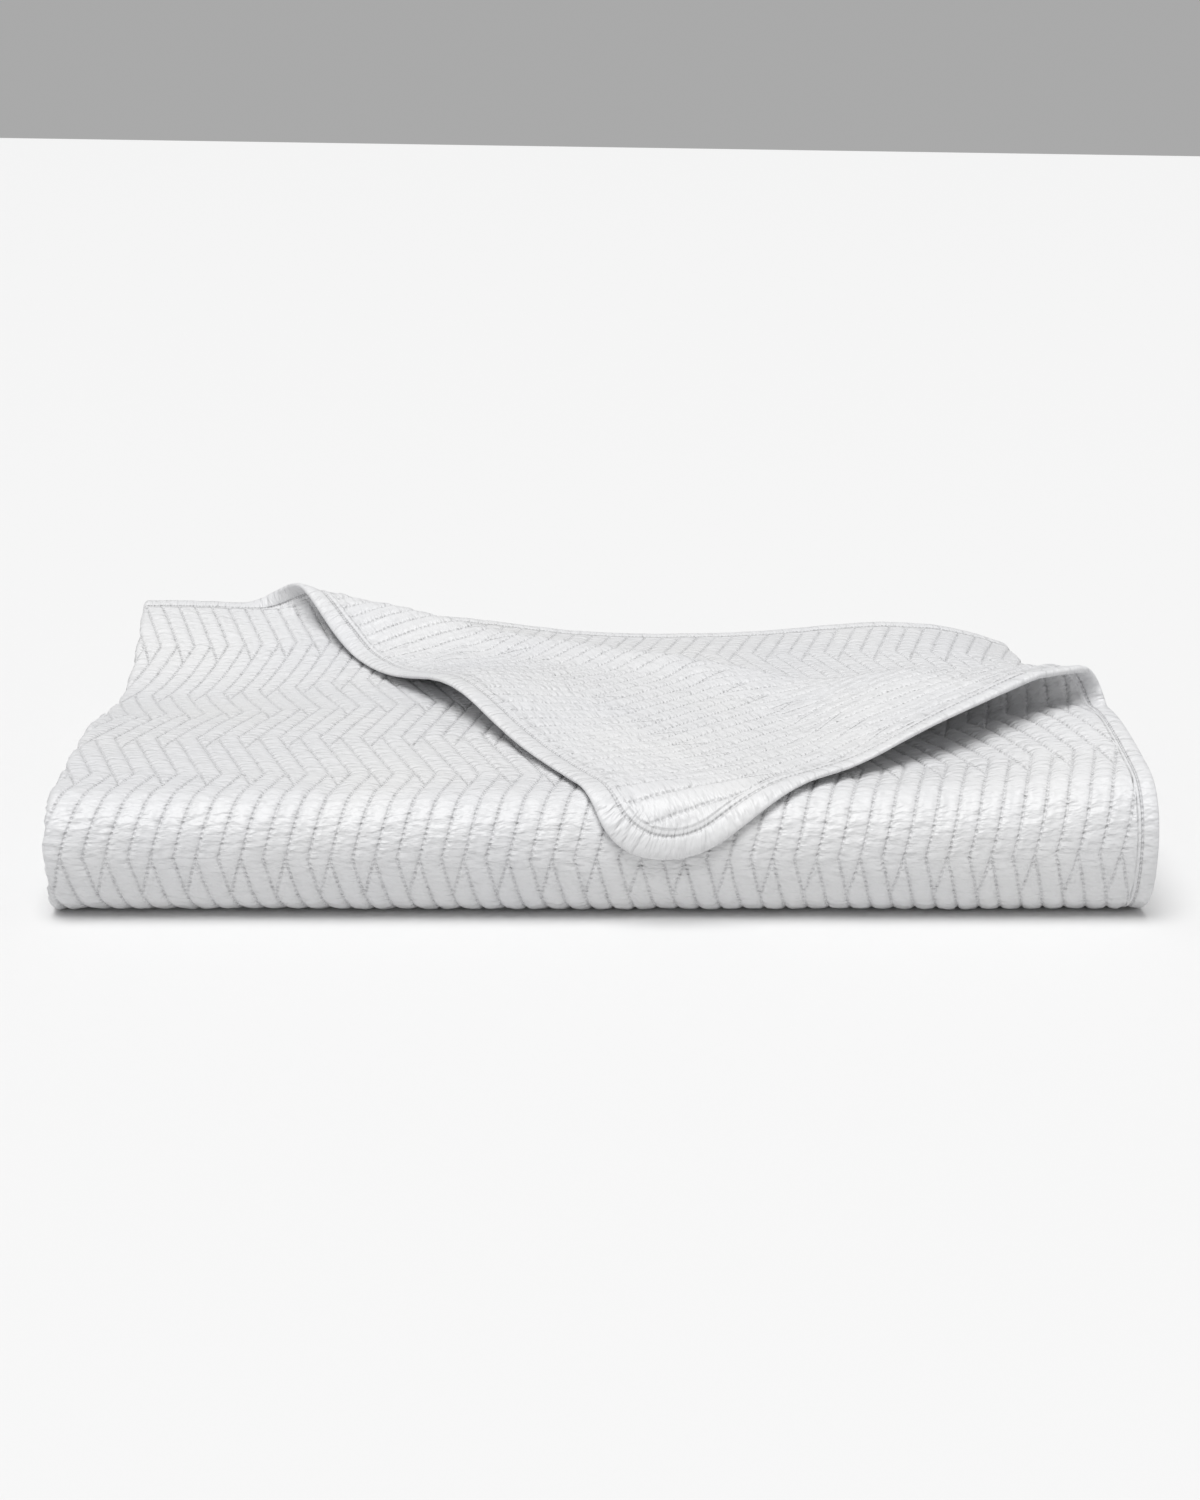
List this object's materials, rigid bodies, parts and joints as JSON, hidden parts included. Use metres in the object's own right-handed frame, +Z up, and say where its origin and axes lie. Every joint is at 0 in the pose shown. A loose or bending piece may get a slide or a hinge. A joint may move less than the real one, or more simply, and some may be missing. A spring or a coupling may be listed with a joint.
{
  "type": "coverlet",
  "caption": "White quilted cotton coverlet with a herringbone stitch and a narrow plain hem, folded into a wide stack with one corner turned back over the top.",
  "frame": {"origin": "centre of the bounding box on the floor, under the folded stack", "axes": "+X along the long front fold to the right, +Y from the front fold to the back, +Z up"},
  "size_m": [0.7744, 0.4976, 0.1455],
  "materials": {
    "quilted_cotton": "satin"
  },
  "bodies": {
    "root": {"coverlet": "quilted_cotton"}
  },
  "joints": []
}
